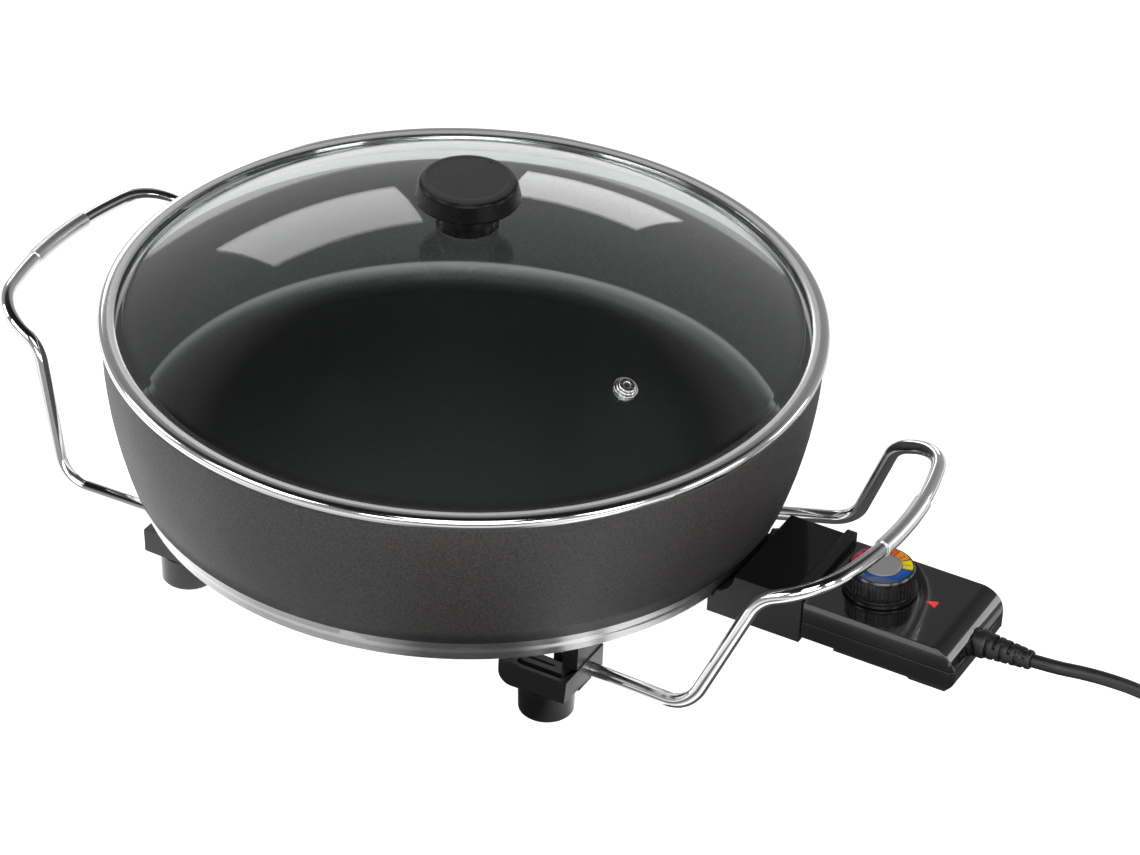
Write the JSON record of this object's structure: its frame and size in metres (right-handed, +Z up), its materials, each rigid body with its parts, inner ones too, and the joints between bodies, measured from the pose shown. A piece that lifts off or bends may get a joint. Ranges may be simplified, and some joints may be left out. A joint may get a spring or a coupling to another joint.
{
  "type": "electric skillet",
  "caption": "Round electric skillet with a lift-off domed glass lid, bent-rod handles, moulded feet and a plug-in heat control with a dial and a mains cord.",
  "frame": {"origin": "on the pan's vertical axis, on the surface that the foot pads stand on", "axes": "+Z up along the pan's axis, +X towards the plug-in heat control, +Y towards the back"},
  "size_m": [0.8243, 0.4103, 0.2437],
  "materials": {
    "coated_aluminium": "matt non-stick coating over cast aluminium",
    "element_steel": "heat-tinted steel sheath",
    "ceramic": "unglazed ceramic",
    "screw_steel": "zinc-plated steel",
    "phenolic": "satin moulded phenolic",
    "foot_plastic": "satin moulded foot",
    "handle_chrome": "bright chrome plating",
    "sleeve_steel": "polished sleeve",
    "lid_glass": "clear tempered glass",
    "lid_steel": "polished stainless steel",
    "knob_phenolic": "satin phenolic",
    "bush_brass": "turned brass",
    "washer_fibre": "fibre washer",
    "vent_steel": "polished eyelet",
    "case_plastic": "fine-textured moulding",
    "block_phenolic": "dark phenolic",
    "socket_brass": "spring brass",
    "sensor_steel": "drawn steel tube",
    "switch_steel": "plated strip",
    "contact_silver": "silver rivets",
    "lamp_glass": "neon lamp",
    "lens_red": "translucent red lens",
    "clamp_plastic": "moulded clamp",
    "dial_plastic": "satin moulding",
    "scale_ring": "printed scale",
    "cap_steel": "satin metal disc",
    "cam_plastic": "acetal",
    "cord_rubber": "black rubber sheath",
    "tie_plastic": "nylon strap",
    "plug_rubber": "moulded black plug",
    "pin_nickel": "nickel-plated brass"
  },
  "bodies": {
    "skillet": {"pan": "coated_aluminium", "heating_element": "element_steel", "terminal_beads": "ceramic", "sensor_sleeve": "sensor_steel", "socket_shroud": "phenolic", "shroud_screws": "screw_steel", "foot_block_front_right": "phenolic", "foot_block_back_right": "phenolic", "foot_block_front_left": "phenolic", "foot_block_back_left": "phenolic", "foot_pad_front_right": "foot_plastic", "foot_pad_back_right": "foot_plastic", "foot_pad_front_left": "foot_plastic", "foot_pad_back_left": "foot_plastic", "foot_screws": "screw_steel", "rod_clamp_screws": "screw_steel", "handle_right": "handle_chrome", "handle_left": "handle_chrome", "sleeve_right": "sleeve_steel", "sleeve_left": "sleeve_steel"},
    "lid": {"lid_glass": "lid_glass", "lid_rim": "lid_steel", "lid_knob": "knob_phenolic", "knob_bush": "bush_brass", "knob_washer": "washer_fibre", "knob_screw": "screw_steel", "screw_washer": "lid_steel", "vent_eyelet": "vent_steel", "vent_back_ring": "vent_steel"},
    "heat_control": {"case_upper": "case_plastic", "case_lower": "case_plastic", "case_screws": "screw_steel", "contact_block": "block_phenolic", "contact_sockets": "socket_brass", "sensor_rod": "sensor_steel", "switch_frame": "switch_steel", "bimetal_blade": "switch_steel", "switch_blade": "socket_brass", "switch_contacts": "contact_silver", "pilot_lamp": "lamp_glass", "pilot_lens": "lens_red", "cord_clamp": "clamp_plastic", "strain_relief": "cord_rubber", "mains_cord": "cord_rubber", "cord_coil": "cord_rubber", "cord_tie": "tie_plastic", "plug_lead": "cord_rubber", "mains_plug": "plug_rubber", "plug_pins": "pin_nickel"},
    "dial": {"dial": "dial_plastic", "dial_ring": "scale_ring", "dial_cap": "cap_steel", "dial_shaft": "sensor_steel", "dial_cam": "cam_plastic"}
  },
  "joints": [
    {"name": "lid_lift", "type": "slide", "parent": "skillet", "child": "lid", "axis": [0, 0, 1], "range_m": [0, 0.12]},
    {"name": "probe_pull", "type": "slide", "parent": "skillet", "child": "heat_control", "axis": [1, 0, 0], "range_m": [0, 0.12]},
    {"name": "dial_turn", "type": "hinge", "parent": "heat_control", "child": "dial", "pos_m": [0.259, 0, 0.08], "axis": [0, 0, 1], "range_deg": [0, 270]}
  ]
}
